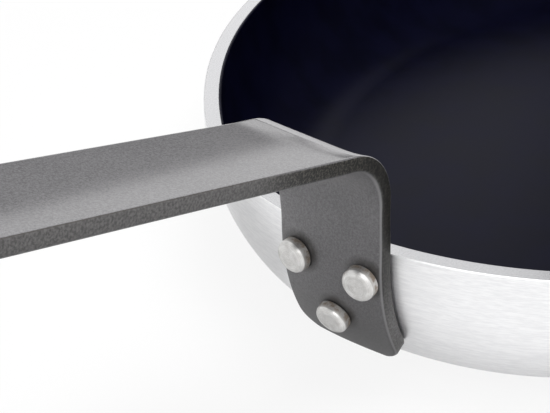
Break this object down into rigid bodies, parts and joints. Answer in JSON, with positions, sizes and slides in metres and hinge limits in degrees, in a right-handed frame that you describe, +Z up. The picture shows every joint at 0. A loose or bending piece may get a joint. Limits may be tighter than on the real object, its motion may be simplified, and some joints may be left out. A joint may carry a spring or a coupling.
{
  "type": "fish pan",
  "caption": "Oval fish pan of thick pressed aluminium with a dark non-stick inside and a long flat strip handle, bent up from the narrow end and held by solid rivets.",
  "frame": {"origin": "centre of the pan's flat underside", "axes": "+X from the pan's centre out along the handle, +Y across the pan, +Z up out of the pan"},
  "size_m": [0.6188, 0.28, 0.1192],
  "materials": {
    "pan_body": "bare aluminium, finely brushed outside, rim machined bright",
    "nonstick_lining": "blue-black non-stick coating, satin",
    "handle": "grey epoxy powder coat on steel strip, fine speckle, satin",
    "rivets": "solid aluminium rivet, turned head with light tarnish"
  },
  "bodies": {
    "root": {"pan_body": "pan_body", "nonstick_lining": "nonstick_lining", "handle": "handle", "rivet_upper_left": "rivets", "rivet_upper_right": "rivets", "rivet_lower": "rivets"}
  },
  "joints": []
}
